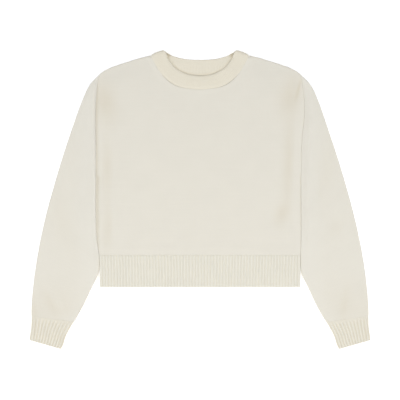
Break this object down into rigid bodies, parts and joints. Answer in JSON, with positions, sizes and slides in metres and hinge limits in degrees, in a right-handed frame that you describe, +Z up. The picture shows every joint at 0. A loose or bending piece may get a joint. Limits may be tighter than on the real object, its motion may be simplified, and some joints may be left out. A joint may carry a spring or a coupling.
{
  "type": "cropped knit sweater",
  "caption": "Long-sleeved cropped knit jumper laid flat, front up, sleeves brought down beside the body, with a scooped neckband, a ribbed hem and ribbed cuffs.",
  "frame": {"origin": "middle of the garment's outline, seen from above, on the surface that it lies on", "axes": "+Z up from that surface, out of the garment's front; +Y towards the neck; +X towards the wearer's left sleeve"},
  "size_m": [0.714, 0.6246, 0.0099],
  "materials": {
    "jersey": "matt fine-gauge cotton jersey, cream",
    "rib": "matt 2x2 ribbed cotton knit, cream",
    "neck_rib": "matt doubled fine rib, a little warmer cream"
  },
  "bodies": {
    "root": {"back_panel": "jersey", "front_panel": "jersey", "sleeve_left": "jersey", "sleeve_right": "jersey", "hem_rib_back": "rib", "hem_rib_front": "rib", "cuff_left": "rib", "cuff_right": "rib", "neckband": "neck_rib"}
  },
  "joints": []
}
